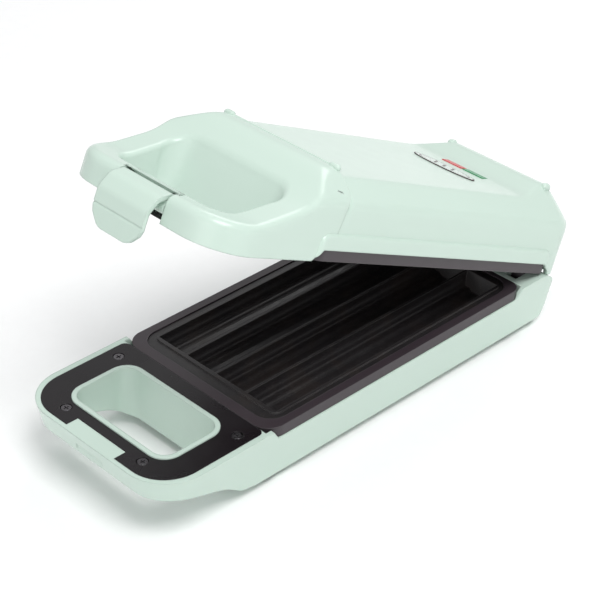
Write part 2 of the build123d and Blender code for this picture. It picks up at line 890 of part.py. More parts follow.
def lid_housing():
    """Hollow lid with its collar, handle, latch room and hinge knuckle."""
    outer_body = lid_body_outer()
    outer_handle = lid_handle_outer()
    outer = outer_body + outer_handle
    for nub in nubs():
        outer += nub
    shell = outer - lid_body_outer(wall) - lid_handle_outer(wall)
    solid = outer_body + outer_handle

    cover_front = lid_front + cover_front_border
    cover_room = slab(cover_plan(fit_gap, cover_front), -cover_thickness - fit_gap, 5)
    ledge_hole = slab(cover_plan(-cover_ledge, cover_front), -far, 5)
    ledge_top = seam_gap + cover_thickness + cover_ledge
    rim = solid & block(-far, far, -far, frame_front - plate_gap, seam_gap, ledge_top)
    shell += rim - flipped(ledge_hole)
    shell -= flipped(cover_room)

    sleeve_plan = Pos(0, 0, rim_height + seam_gap + 0.2) * opening_plan(sleeve_wall)
    funnel = extrude(sleeve_plan, 60, taper=-opening_draft)
    shell += funnel & solid
    rib = block(-far, far, frame_front + 0.4, frame_front + 2.8, frame_height + 1.4, far)
    shell += rib & solid
    for x, y in cover_screws:
        boss = pillar(x, y, cover_thickness + seam_gap + fit_gap, 60, boss_radius)
        shell += both_sides(boss) & solid
    for x, y in lid_frame_screw_spots():
        shell += pillar(x, y, frame_height + seam_gap + fit_gap, 60, boss_radius) & solid
    shell += latch_cheeks() & solid

    window = outline(
        [
            (body_y, -5, 0),
            (body_y, seam_gap, 0),
            (body_y + 5.3, frame_height + seam_gap + 0.2, 0),
            (lid_frame_rear - 8, frame_height + seam_gap + 0.2, 0),
            (lid_frame_rear, 2.6, 5),
            (lid_frame_rear, -5, 0),
        ]
    )
    shell -= across(window)
    shell -= rod(-far / 2, far / 2, hinge_y, hinge_z, ear_radius + 0.6)
    room_top = frame_height + seam_gap + 0.1
    shell -= slab(frame_plan(fit_gap, lid_frame_rear + fit_gap), -5, room_top)
    arm_near = arm_inner - fit_gap
    arm_far = arm_inner + arm_width + fit_gap
    arm_room = block(arm_near, arm_far, lid_frame_rear - 5, hinge_y + 4 + fit_gap, -5, room_top)
    shell -= both_sides(arm_room)
    shell += hinge_knuckle()

    shell -= extrude(Pos(0, 0, -1) * opening_plan(0), 60, taper=-opening_draft)
    for x, y in cover_screws:
        shell -= both_sides(pillar(x, y, 0, 13.5, screw_radius + thread_clearance))
    for x, y in lid_frame_screw_spots():
        shell -= pillar(x, y, 0, 15, screw_radius + thread_clearance)
    shell -= latch_room()
    pin_half = latch_width / 2 + moving_gap + 2.0
    shell -= rod(-pin_half, pin_half, latch_y, latch_z, latch_pin_radius + 0.02)
    for side in (-1, 1):
        shell -= slab(lens_plan(side, 0.2, 0.2), panel_rise - 9, 60)
    return shell


# ---------------------------------------------------------------- lid trim
def lens(side):
    """Indicator window, just proud of the panel, with a flange beneath."""
    inner_face = panel_rise - wall
    body = slab(lens_plan(side, 0, 0), inner_face - 1.2, panel_rise + 0.5)
    return body + slab(lens_plan(side, 0, 2.4), inner_face - 1.2, inner_face)


def lamp_holder():
    """Bar behind the lenses that carries both lamps."""
    front = lens_y - 5
    rear = lens_y + 5
    shelf = panel_rise - 8.5
    bar = block(-19, 19, front, rear, shelf - 3, shelf)
    bar -= both_sides(pillar(lamp_spacing / 2, lens_y, 0, 60, 2.3))
    return bar + both_sides(block(17, 19, front, rear, shelf, panel_rise - wall))


def indicator_lamps():
    """Two small neon lamps with domed tips."""
    x = lamp_spacing / 2
    shoulder = panel_rise - 6.5
    glass = pillar(x, lens_y, shoulder - 6.5, shoulder, 2.2)
    return both_sides(glass + Pos(x, lens_y, shoulder) * Sphere(2.2))


def badge():
    """Thin oval plate with three raised slanting bars, a plain steam sign."""
    oval = Pos(0, badge_y) * Ellipse(badge_width / 2, badge_length / 2)
    plate = slab(oval, panel_rise + 0.02, panel_rise + badge_thickness)
    bar = Rot(0, 0, 25) * Box(1.4, 7, 0.5)
    for x in (-7.0, 0, 7.0):
        plate += Pos(x, badge_y, panel_rise + badge_thickness) * bar
    return plate


# ---------------------------------------------------------------- latch
def latch():
    """Curved clip that hooks under the keeper of the base, on its own barrel."""
    y = latch_y
    z = latch_z
    t = latch_thickness
    side = outline(
        [
            (y + 4.6, z + 6.7, 0.6),
            (y - 1.0, z + 8.2, 5),
            (y - 9.5, z + 5.6, 8),
            (y - latch_reach, z - 3.0, 6),
            (y - latch_reach, z - 11.2, 0.4),
            (y - latch_reach + 0.7, z - 11.8, 0.4),
            (y - latch_reach + 0.2, z - 13, 2),
            (y - latch_reach + 0.4, z - latch_drop, 0.8),
            (y - latch_reach + t, z - latch_drop, 0.8),
            (y - latch_reach + t, z - 4.0, 5),
            (y - 8.2, z + 2.8, 5),
            (y - 1.5, z + 5.2, 3),
            (y + 3.2, z + 4.8, 0.5),
        ]
    )
    half = latch_width / 2
    front_face = outline(
        mirrored(
            [
                (half, z + 20, 0),
                (half, z - 9.6, 0.8),
                (half + 0.1, z - 13.4, 0.8),
                (half - 1.2, z - 17, 3),
                (half - 7.5, z - latch_drop + 0.6, 9),
            ]
        )
    )
    clip = across(side, half + 1) & along(front_face, -far / 2, far / 2)
    barrel = rod(-half, half, y, z, 4.0)
    web = block(-half, half, y - 3, y + 2, z, z + 6.4)
    hook = outline(
        [
            (y - latch_reach + t - 0.5, z - 16.4, 0),
            (y - latch_reach + t + 2.2, z - 17.8, 0.3),
            (y - latch_reach + t + 2.2, z - 18.7, 0.4),
            (y - latch_reach + t - 0.5, z - 20.4, 0),
        ]
    )
    clip += barrel + web + across(hook, 10)
    return clip - rod(-far, far, y, z, latch_pin_radius + pin_clearance)


def latch_pin():
    half = latch_width / 2 + moving_gap + 1.9
    return rod(-half, half, latch_y, latch_z, latch_pin_radius)


def hinge_pins():
    return both_sides(rod(pin_start - moving_gap, pin_end - 0.3, hinge_y, hinge_z, pin_radius))


def feet():
    pads = Part()
    for pad in foot_shapes(0, -base_height + foot_pad + foot_recess - 0.02):
        pads += pad
    return pads


base_parts = {
    "base_housing": base_housing(),
    "base_handle_cover": handle_cover(front_y + cover_front_border),
    "base_handle_screws": cover_screw_set(),
    "base_frame": base_frame(),
    "base_frame_screws": base_frame_screws(),
    "base_plate": cooking_plate(),
    "base_plate_screws": plate_screws(),
    "base_heater": heater(),
    "base_reflector": reflector(),
    "thermostat": thermostat(),
    "thermal_fuse": thermal_fuse(),
    "fuse_clip": fuse_clip(),
    "terminal_block": terminal_block(),
    "cord_gland": cord_gland(),
    "cord_clamp": cord_clamp(),
    "base_leads": base_leads(),
    "hinge_pins": hinge_pins(),
    "feet": feet(),
}

lid_parts = {
    "lid_housing": lid_housing(),
    "lid_handle_cover": flipped(handle_cover(lid_front + cover_front_border)),
    "lid_handle_screws": flipped(cover_screw_set()),
    "lid_frame": lid_frame(),
    "lid_frame_screws": lid_frame_screws(),
    "lid_plate": flipped(cooking_plate()),
    "lid_plate_screws": flipped(plate_screws()),
    "lid_heater": flipped(heater()),
    "lid_reflector": flipped(reflector()),
    "power_lens": lens(-1),
    "ready_lens": lens(1),
    "indicator_lamps": indicator_lamps(),
    "lamp_holder": lamp_holder(),
    "badge": badge(),
    "latch_pin": latch_pin(),
    "lid_leads": lid_leads(),
    "latch": latch(),
}

for name, shape in base_parts.items():
    export_step(base_place(shape), f"parts/{name}.step")
for name, shape in lid_parts.items():
    export_step(lid_place(shape), f"parts/{name}.step")
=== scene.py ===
import json
import math

import bmesh
import bpy
import numpy as np
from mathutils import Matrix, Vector


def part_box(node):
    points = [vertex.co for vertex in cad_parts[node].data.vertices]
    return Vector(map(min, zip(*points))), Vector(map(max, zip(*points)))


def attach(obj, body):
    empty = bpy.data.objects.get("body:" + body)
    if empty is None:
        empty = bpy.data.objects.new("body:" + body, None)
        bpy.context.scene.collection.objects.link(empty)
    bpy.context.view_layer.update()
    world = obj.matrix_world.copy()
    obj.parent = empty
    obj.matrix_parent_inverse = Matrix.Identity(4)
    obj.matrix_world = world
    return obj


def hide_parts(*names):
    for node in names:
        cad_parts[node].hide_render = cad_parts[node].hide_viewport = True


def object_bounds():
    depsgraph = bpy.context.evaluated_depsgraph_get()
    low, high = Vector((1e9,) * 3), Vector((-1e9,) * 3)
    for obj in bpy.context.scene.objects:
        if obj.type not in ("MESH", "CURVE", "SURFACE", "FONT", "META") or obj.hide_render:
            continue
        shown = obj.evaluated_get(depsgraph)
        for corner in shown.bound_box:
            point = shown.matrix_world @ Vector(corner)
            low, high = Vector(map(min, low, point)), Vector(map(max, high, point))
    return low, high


# Stick-doughnut maker in mint plastic, half open on a pale floor.
# Metres, +Z up, +Y from the handle to the hinge.

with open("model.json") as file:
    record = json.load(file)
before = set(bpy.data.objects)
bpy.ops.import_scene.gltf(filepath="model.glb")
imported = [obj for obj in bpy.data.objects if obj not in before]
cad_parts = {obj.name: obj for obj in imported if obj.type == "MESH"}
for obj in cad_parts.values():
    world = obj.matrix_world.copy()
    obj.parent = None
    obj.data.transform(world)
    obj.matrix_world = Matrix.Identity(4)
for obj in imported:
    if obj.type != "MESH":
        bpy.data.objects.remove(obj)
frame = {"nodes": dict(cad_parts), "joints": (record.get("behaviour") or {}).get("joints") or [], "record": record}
cad_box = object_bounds()
node_objects = frame["nodes"]
slot_of_node = {row["node"]: row["material_slot"] for row in frame["record"]["subparts"]}

# The hinge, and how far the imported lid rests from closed.
hinge = next(row for row in frame["joints"] if row["name"] == "lid_hinge")
HINGE_Y = 1000 * hinge["pos_m"][1]
HINGE_Z = 1000 * hinge["pos_m"][2]
REST_TURN = math.radians(hinge["range_deg"][0])
BADGE_HALF = (0.0245, 0.0065)
BADGE_RAISED = 0.42

# camera
CAMERA_PLACE = (0.6582, -0.6361, 0.6669)
CAMERA_LOOK = (-0.6023, 0.5745, -0.5543)
CAMERA_LENS = 111.67
SENSOR_WIDTH = 36.0

# stage and lights
FLOOR_SIZE = 12.0
WORLD_COLOUR = (0.98, 0.99, 1.0)
WORLD_STRENGTH = 0.52


class Finish:
    """A node material: its tree, its shader, and short ways to add nodes and links."""

    def __init__(self, name):
        self.material = bpy.data.materials.new(name)
        self.material.use_nodes = True
        self.tree = self.material.node_tree
        self.shader = self.tree.nodes["Principled BSDF"]
        self.place = self.tree.nodes.new("ShaderNodeTexCoord").outputs["Object"]

    def node(self, kind, links=(), values=(), **settings):
        """One node; links and values pair an input's name or number with a socket or a value."""
        made = self.tree.nodes.new(kind)
        for key, setting in settings.items():
            setattr(made, key, setting)
        for key, value in values:
            made.inputs[key].default_value = value
        for key, socket in links:
            self.tree.links.new(socket, made.inputs[key])
        return made

    def noise(self, scale, detail=3.0, distortion=0.0, place=None):
        """A grey pattern of blobs about 1 / scale metres across."""
        values = [("Scale", scale), ("Detail", detail), ("Distortion", distortion)]
        made = self.node("ShaderNodeTexNoise", [("Vector", place or self.place)], values)
        return made.outputs["Fac"]

    def spread(self, socket, low, high, start=0.3, end=0.7):
        """The grey value between start and end, spread over low to high."""
        values = [("From Min", start), ("From Max", end), ("To Min", low), ("To Max", high)]
        return self.node("ShaderNodeMapRange", [("Value", socket)], values).outputs["Result"]

    def blend(self, share, first, second):
        """A colour that goes from first to second as share goes from 0 to 1."""
        made = self.node("ShaderNodeMix", [("Factor", share)], data_type="RGBA")
        for key, colour in (("A", first), ("B", second)):
            socket = next(s for s in made.inputs if s.name == key and s.type == "RGBA")
            if isinstance(colour, tuple):
                socket.default_value = (*colour, 1.0)
            else:
                self.tree.links.new(colour, socket)
        return next(s for s in made.outputs if s.type == "RGBA")

    def math(self, operation, first, second):
        """One sum on two grey values; either may be a plain number."""
        made = self.node("ShaderNodeMath", operation=operation)
        for key, value in ((0, first), (1, second)):
            if isinstance(value, (int, float)):
                made.inputs[key].default_value = value
            else:
                self.tree.links.new(value, made.inputs[key])
        return made.outputs[0]

    def soft_normal(self, radius):
        """The surface's direction with its edges rounded over radius."""
        return self.node("ShaderNodeBevel", values=[("Radius", radius)], samples=6).outputs["Normal"]

    def edges(self, normal):
        """1 along the rounded edges and 0 on the faces."""
        true_normal = self.node("ShaderNodeNewGeometry").outputs["Normal"]
        links = [(0, normal), (1, true_normal)]
        dot = self.node("ShaderNodeVectorMath", links, operation="DOT_PRODUCT").outputs["Value"]
        return self.spread(dot, 1.0, 0.0, 0.70, 0.93)

    def bump(self, height, distance, strength, normal):
        """Small relief on top of a surface direction."""
        values = [("Strength", strength), ("Distance", distance)]
        links = [("Height", height), ("Normal", normal)]
        return self.node("ShaderNodeBump", links, values).outputs["Normal"]

    def set(self, **values):
        """Values or sockets on the shader's own inputs; an underscore stands for a space."""
        for key, value in values.items():
            socket = self.shader.inputs[key.replace("_", " ")]
            if isinstance(value, bpy.types.NodeSocket):
                self.tree.links.new(value, socket)
            elif isinstance(value, tuple):
                socket.default_value = (*value, 1.0)
            else:
                socket.default_value = value


def moulded_plastic(name, colour, shade, highlight_and_wear_tint, roughness, grain_scale, grain, edge_radius=0.0007):
    """Moulded plastic: a slow drift of tint, rounded edges made paler in patches (painted highlight along the
    edges, with some wear), uneven gloss and fine grain.
    """
    finish = Finish(name)
    normal = finish.soft_normal(edge_radius)
    drift = finish.spread(finish.noise(9.0, 1.0), 0.0, 1.0, 0.2, 0.8)
    tint = finish.blend(drift, colour, shade)
    flecks = finish.spread(finish.noise(900.0, 2.0), 0.0, 0.10, 0.45, 0.75)
    tint = finish.blend(flecks, tint, shade)
    patches = finish.spread(finish.noise(60.0, 3.0), 0.1, 0.7)
    # painted highlight: rounded edges go paler in patches, standing in for the light they catch, partly also wear
    highlit_and_worn_edges = finish.math("MULTIPLY", finish.edges(normal), patches)
    tint = finish.blend(highlit_and_worn_edges, tint, highlight_and_wear_tint)
    smears = finish.noise(40.0, 2.0)
    finish.set(
        Base_Color=tint,
        Roughness=finish.spread(smears, roughness[0], roughness[1], 0.2, 0.8),
        IOR=1.5,
        Normal=finish.bump(finish.noise(grain_scale, 3.0), 0.0002, grain, normal),
    )
    return finish.material


def nonstick_coating():
    """Baked black coating: fine sparkle, a brown film in patches and rims made paler, partly wear and partly
    painted highlight.
    """
    finish = Finish("nonstick_finish")
    normal = finish.soft_normal(0.0006)
    film = finish.spread(finish.noise(38.0, 5.0, 1.2), 0.0, 0.55, 0.45, 0.75)
    tint = finish.blend(film, (0.016, 0.014, 0.015), (0.034, 0.024, 0.019))
    flecks = finish.spread(finish.noise(2600.0, 1.0), 0.0, 1.0, 0.62, 0.72)
    tint = finish.blend(flecks, tint, (0.075, 0.07, 0.07))
    patches = finish.spread(finish.noise(110.0, 3.0), 0.25, 0.9)
    # painted highlight with wear: rims and rounded edges go paler in patches
    rubbed_and_highlit_rims = finish.math("MULTIPLY", finish.edges(normal), patches)
    tint = finish.blend(rubbed_and_highlit_rims, tint, (0.16, 0.15, 0.15))
    finish.set(
        Base_Color=tint,
        Roughness=finish.spread(finish.noise(70.0, 5.0, 0.8), 0.30, 0.46),
        Normal=finish.bump(finish.noise(1500.0, 2.0), 0.0002, 0.12, normal),
    )
    return finish.material


def metal(name, colour, tarnish, roughness, brush=(1.0, 1.0, 1.0), grain_scale=700.0):
    """Worked metal: streaks along one axis, cloudy tarnish and rounded edges painted brighter as a painted
    highlight.
    """
    finish = Finish(name)
    normal = finish.soft_normal(0.0003)
    stretch = finish.node("ShaderNodeMapping", [("Vector", finish.place)], [("Scale", brush)])
    streaks = finish.noise(grain_scale, 3.0, place=stretch.outputs["Vector"])
    clouds = finish.spread(finish.noise(45.0, 4.0, 1.0), 0.0, 0.8)
    tint = finish.blend(clouds, colour, tarnish)
    # painted highlight: the rounded edges get a brighter colour than the metal itself
    edge_highlight_tint = tuple(min(1.0, 1.25 * c) for c in colour)
    tint = finish.blend(finish.edges(normal), tint, edge_highlight_tint)
    finish.set(
        Base_Color=tint,
        Metallic=1.0,
        Roughness=finish.spread(streaks, roughness[0], roughness[1]),
        Normal=finish.bump(streaks, 0.0001, 0.12, normal),
    )
    return finish.material


def woven_sleeve():
    """Glass-fibre sleeving: two crossing sets of strands in a cream tint, soiled in patches."""
    finish = Finish("lead_sleeve_finish")
    waves = []
    for turn in (0.7, -0.7):
        rotation = [("Rotation", (turn, turn, turn))]
        mapping = finish.node("ShaderNodeMapping", [("Vector", finish.place)], rotation)
        links = [("Vector", mapping.outputs["Vector"])]
        waves.append(finish.node("ShaderNodeTexWave", links, [("Scale", 260.0)]).outputs["Fac"])
    weave = finish.math("MULTIPLY", waves[0], waves[1])
    soiled = finish.spread(finish.noise(90.0), 0.0, 0.6)
    tint = finish.blend(weave, (0.42, 0.38, 0.30), (0.68, 0.64, 0.54))
    tint = finish.blend(soiled, tint, (0.30, 0.22, 0.15))
    relief = finish.node("ShaderNodeBump", [("Height", weave)], [("Distance", 0.0004)])
    finish.set(
        Base_Color=tint,
        Roughness=finish.spread(weave, 0.85, 0.6, 0.0, 1.0),
        Normal=relief.outputs["Normal"],
    )
    return finish.material


def badge_face():
    """Pale oval plate with a dark line inside its dark rim and dark raised bars.

    Rings and height are worked out in the plate's own plane.
    """
    finish = Finish("badge_metal_finish")
    low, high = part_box("badge")
    turned = finish.node(
        "ShaderNodeMapping",
        [("Vector", finish.place)],
        [
            ("Location", (low + high) / 2),
            ("Rotation", (REST_TURN, 0.0, 0.0)),
            ("Scale", (BADGE_HALF[0], BADGE_HALF[1], 0.001)),
        ],
        vector_type="TEXTURE",
    ).outputs["Vector"]
    flat = finish.node("ShaderNodeVectorMath", [(0, turned)], operation="MULTIPLY")
    flat.inputs[1].default_value = (1.0, 1.0, 0.0)
    length = finish.node("ShaderNodeVectorMath", [(0, flat.outputs[0])], operation="LENGTH")
    radius = length.outputs["Value"]
    drift = finish.spread(finish.noise(60.0), 0.0, 1.0)
    tint = finish.blend(drift, (0.66, 0.74, 0.69), (0.60, 0.69, 0.64))
    for inner, outer in ((0.78, 0.85), (0.95, 1.2)):
        beyond = finish.math("GREATER_THAN", radius, inner)
        within = finish.math("LESS_THAN", radius, outer)
        line = finish.math("MULTIPLY", beyond, within)
        tint = finish.blend(line, tint, (0.045, 0.018, 0.022))
    height = finish.node("ShaderNodeSeparateXYZ", [("Vector", turned)]).outputs["Z"]
    raised = finish.math("GREATER_THAN", height, BADGE_RAISED)
    tint = finish.blend(raised, tint, (0.06, 0.022, 0.026))
    finish.set(
        Base_Color=tint,
        Roughness=finish.spread(finish.noise(700.0), 0.22, 0.38),
        Coat_Weight=0.2,
        Normal=finish.bump(finish.noise(1600.0), 0.0001, 0.08, finish.soft_normal(0.0002)),
    )
    return finish.material


def tinted_lens(name, colour, deep):
    """Tinted plastic, deeper in streaks, with a faint prism pattern, scuffs in the gloss and a faint painted glow
    in its own tint.
    """
    finish = Finish(name)
    normal = finish.soft_normal(0.0004)
    wave_values = [("Scale", 330.0), ("Distortion", 0.5)]
    prisms = finish.node("ShaderNodeTexWave", [("Vector", finish.place)], wave_values)
    tint = finish.blend(finish.spread(prisms.outputs["Fac"], 0.0, 0.5, 0.2, 0.8), colour, deep)
    tint = finish.blend(finish.spread(finish.noise(300.0), 0.0, 0.4), tint, deep)
    finish.set(
        Base_Color=tint,
        Roughness=finish.spread(finish.noise(500.0, 3.0, 1.0), 0.08, 0.22),
        Transmission_Weight=0.10,
        IOR=1.49,
        Specular_IOR_Level=0.25,
        # painted glow: a faint light given off in the lens's own tint
        Emission_Strength=0.08,
        Emission_Color=tint,
        Normal=finish.bump(finish.noise(1200.0, 1.0), 0.0001, 0.08, normal),
    )
    return finish.material


# The third colour of each moulded plastic is the paler tint of its rounded edges: painted highlight with some
# wear.
finish_of_slot = {
    "mint_plastic": moulded_plastic(
        "mint_plastic_finish",
        (0.590, 0.722, 0.642),
        (0.580, 0.712, 0.630),
        (0.67, 0.79, 0.72),
        (0.20, 0.27),
        1500.0,
        0.03,
        0.0012,
    ),
    "dark_cover": moulded_plastic(
        "dark_cover_finish",
        (0.006, 0.004, 0.005),
        (0.009, 0.006, 0.008),
        (0.04, 0.035, 0.04),
        (0.22, 0.36),
        1300.0,
        0.10,
    ),
    "dark_frame": moulded_plastic(
        "dark_frame_finish",
        (0.038, 0.028, 0.034),
        (0.044, 0.034, 0.040),
        (0.10, 0.09, 0.095),
        (0.26, 0.40),
        1300.0,
        0.10,
    ),
    "black_rubber": moulded_plastic(
        "black_rubber_finish",
        (0.022, 0.022, 0.022),
        (0.034, 0.033, 0.032),
        (0.07, 0.07, 0.07),
        (0.62, 0.85),
        900.0,
        0.35,
    ),
    "white_ceramic": moulded_plastic(
        "white_ceramic_finish",
        (0.78, 0.76, 0.70),
        (0.70, 0.67, 0.60),
        (0.86, 0.84, 0.80),
        (0.35, 0.60),
        1100.0,
        0.20,
    ),
    "nonstick": nonstick_coating(),
    "screw_steel": metal("screw_steel_finish", (0.20, 0.19, 0.20), (0.11, 0.10, 0.11), (0.22, 0.42)),
    "pin_steel": metal(
        "pin_steel_finish",
        (0.58, 0.56, 0.54),
        (0.36, 0.33, 0.31),
        (0.18, 0.38),
        (1.0, 8.0, 8.0),
    ),
    "heater_steel": metal("heater_steel_finish", (0.38, 0.34, 0.31), (0.20, 0.15, 0.13), (0.35, 0.60)),
    "sheet_steel": metal(
        "sheet_steel_finish",
        (0.66, 0.66, 0.66),
        (0.50, 0.47, 0.44),
        (0.22, 0.42),
        (12.0, 1.0, 12.0),
    ),
    "badge_metal": badge_face(),
    "lead_sleeve": woven_sleeve(),
    "red_lens": tinted_lens("red_lens_finish", (0.72, 0.015, 0.03), (0.45, 0.008, 0.015)),
    "green_lens": tinted_lens("green_lens_finish", (0.006, 0.30, 0.10), (0.003, 0.17, 0.055)),
    "lamp_glass": tinted_lens("lamp_glass_finish", (0.85, 0.50, 0.32), (0.60, 0.30, 0.20)),
}

for name, thing in node_objects.items():
    thing.data.materials.clear()
    thing.data.materials.append(finish_of_slot[slot_of_node[name]])


# ---------------------------------------------------------------- lid shell sizes, in millimetres
# Shapes of the lid are worked out as if it were closed, with z = 0 at the seam,
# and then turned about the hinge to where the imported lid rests.
HALF_WIDTH = 1000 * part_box("base_housing")[1].x
HINGE_DROP = 16.0
LID_LENGTH = 302.0
BODY_LENGTH = 226.0
SEAM_Z = HINGE_Z + HINGE_DROP
SEAM_GAP = 0.4
TRIM_TOP = 7.4
LID_FRONT = HINGE_Y - LID_LENGTH
BODY_FRONT = HINGE_Y - BODY_LENGTH
PANEL_FRONT = BODY_FRONT + 20.0
TRIM_REAR = HINGE_Y - 1.0
LID_REAR = HINGE_Y + 16.0
PANEL_RISE = 43.7
RIDGE_RISE = 51.0
COLLAR_RISE = 47.6
GRIP_RISE = 17.0
BEVEL_SLOPE = 0.738
OPENING = (40.5, HINGE_Y - 285.0, HINGE_Y - 243.0)
LATCH_HALF = 20.6
LATCH_AXIS = (LID_FRONT + 5.0, 8.5)
LATCH_SWING = 9.0
FRONT_RADIUS = 28.0
LIP = 3.0
REAR_RADIUS = 18.0
FUNNEL_LOW = 1.4
PAD_TOP = 16.8
PAD_RADIUS = 6.0
RAIL_HALF = 46.0
RIDGE_STOP_X = 39.0
KNUCKLE_RADIUS = 9.0
KNUCKLE_HALF = 11.5
KNUCKLE_BACK = 6.0
KNUCKLE_LOW = 1.4
KNUCKLE_HIGH = 8.0
CREASE_DEGREES = 35.0

# walls given to the shells, in metres
BODY_WALL = 0.0022
HANDLE_WALL = 0.0015
SWELLING_WALL = 0.0009


def soft_lower(first, second, softness):
    """The lower of two heights, with the crease between them rounded: -k log(e^(-a/k) + e^(-b/k))."""
    lower = np.minimum(first, second)
    return lower - softness * np.log1p(np.exp(-np.abs(first - second) / softness))


def curve_through(corners, window, step=0.25):
    """A height over y that follows straight runs between corners, rounded by a running mean done twice."""
    y = np.arange(corners[0][0] - 3 * window, corners[-1][0] + 3 * window, step)
    z = np.interp(y, *zip(*corners))
    kernel = np.ones(int(window / step)) / int(window / step)
    for _ in range(2):
        z = np.convolve(np.pad(z, len(kernel) // 2, mode="edge"), kernel, mode="same")
        z = z[len(kernel) // 2 : len(kernel) // 2 + len(y)]
    return lambda where: np.interp(where, y, z)


def rounded_run(corners, reaches, steps=7):
    """Points along straight runs, with each inner corner rounded.

    A bend is (1 - t)^2 start + 2 t (1 - t) corner + t^2 end, its ends at the reach from the corner.
    """
    corners = np.array(corners, float)
    points = [corners[:1]]
    t = np.linspace(0, 1, steps)[:, None]
    for before, corner, after, reach in zip(corners, corners[1:], corners[2:], reaches):
        start = corner + reach * (before - corner) / np.linalg.norm(before - corner)
        end = corner + reach * (after - corner) / np.linalg.norm(after - corner)
        points.append((1 - t) ** 2 * start + 2 * t * (1 - t) * corner + t**2 * end)
    points.append(corners[-1:])
    return np.concatenate(points)


def evenly(points, spacing):
    """The same line with a point about every spacing."""
    run = np.concatenate([[0], np.cumsum(np.linalg.norm(np.diff(points, axis=0), axis=1))])
    where = np.linspace(0, run[-1], int(run[-1] / spacing) + 2)
    return np.stack([np.interp(where, run, points[:, k]) for k in range(points.shape[1])], 1)


def loop_of(half, front, rear, front_radius, rear_radius, front_shares, side_count, rear_count):
    """Right half of a rounded rectangle, from the middle of its front to the middle of its rear.

    Straight runs are split by shares of their length and each corner by equal turns.
    Returns points and inward directions.
    """
    quarter = np.linspace(0, math.pi / 2, 15)[1:-1]
    front_x = np.array(front_shares) * (half - front_radius)
    side_y = np.linspace(front + front_radius, rear - rear_radius, side_count)
    rear_x = np.linspace(half - rear_radius, 0, rear_count)
    zero, one = np.zeros_like, np.ones_like
    rows = [
        np.stack([front_x, front + zero(front_x), zero(front_x), one(front_x)], 1),
        np.stack(
            [
                half - front_radius + front_radius * np.sin(quarter),
                front + front_radius - front_radius * np.cos(quarter),
                -np.sin(quarter),
                np.cos(quarter),
            ],
            1,
        ),
        np.stack([half + zero(side_y), side_y, -one(side_y), zero(side_y)], 1),
        np.stack(
            [
                half - rear_radius + rear_radius * np.cos(quarter),
                rear - rear_radius + rear_radius * np.sin(quarter),
                -np.cos(quarter),
                -np.sin(quarter),
            ],
            1,
        ),
        np.stack([rear_x, rear + zero(rear_x), zero(rear_x), -one(rear_x)], 1),
    ]
    table = np.concatenate(rows)
    return table[:, :2], table[:, 2:]


def rest_place(points):
    """Closed-lid millimetres turned about the hinge to the resting lid, in metres."""
    y = points[..., 1] - HINGE_Y
    z = points[..., 2] + SEAM_Z - HINGE_Z
    turned_y = y * math.cos(REST_TURN) - z * math.sin(REST_TURN)
    turned_z = y * math.sin(REST_TURN) + z * math.cos(REST_TURN)
    return np.stack([points[..., 0], turned_y + HINGE_Y, turned_z + HINGE_Z], -1) / 1000


def close_poles(mesh):
    """Joins the points that fall together where a row of the grid shrinks to a point."""
    joined = bmesh.new()
    joined.from_mesh(mesh)
    bmesh.ops.remove_doubles(joined, verts=joined.verts, dist=1e-7)
    joined.to_mesh(mesh)
    joined.free()


def surface_piece(name, grid, finish, body, slot, around=(False, False), thickness=0.0):
    """A mesh on a grid of points (rows, columns, 3), joined round where around says so."""
    rows, columns = grid.shape[:2]
    index = np.arange(rows * columns).reshape(rows, columns)
    if around[0]:
        index = np.concatenate([index, index[:1]])
    if around[1]:
        index = np.concatenate([index, index[:, :1]], 1)
    quads = np.stack([index[:-1, :-1], index[1:, :-1], index[1:, 1:], index[:-1, 1:]], -1).reshape(-1, 4)
    mesh = bpy.data.meshes.new(name)
    mesh.from_pydata(grid.reshape(-1, 3).tolist(), [], quads.tolist())
    mesh.validate()
    if around[1]:
        close_poles(mesh)
    mesh.materials.append(finish)
    mesh.shade_smooth()
    mesh.set_sharp_from_angle(angle=math.radians(CREASE_DEGREES))
    piece = bpy.data.objects.new(name, mesh)
    bpy.context.scene.collection.objects.link(piece)
    if thickness:
        wall = piece.modifiers.new("wall", "SOLIDIFY")
        wall.thickness = thickness
        wall.offset = -1.0
    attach(piece, body)
    return piece


def bevel_height(x, foot):
    """Height of the sloping plane beside the panel, which passes through foot at the side wall."""
    return foot[1] + (foot[0] - np.abs(x)) * BEVEL_SLOPE


grip_line = curve_through(
    [
        (LID_FRONT - 10, GRIP_RISE),
        (BODY_FRONT - 48, GRIP_RISE),
        (BODY_FRONT - 16, GRIP_RISE + 11.5),
        (BODY_FRONT + 7, COLLAR_RISE),
        (PANEL_FRONT + 10, COLLAR_RISE),
    ],
    11.0,
)


def handle_height(x, y):
    """Top of the handle: the S-curve over y, cut down by the sloping planes of the collar."""
    return soft_lower(grip_line(y), bevel_height(x, (HALF_WIDTH - 1.6, 33.0)) + 1.4, 0.9)


def trim_line(y):
    """Foot of the lid's side wall: at the seam by the handle, over the dark trim by the body."""
    return np.interp(
        y,
        [BODY_FRONT, BODY_FRONT + 5.3, TRIM_REAR - 8, TRIM_REAR, TRIM_REAR + 0.5],
        [SEAM_GAP, TRIM_TOP, TRIM_TOP, 2.6, SEAM_GAP],
    )


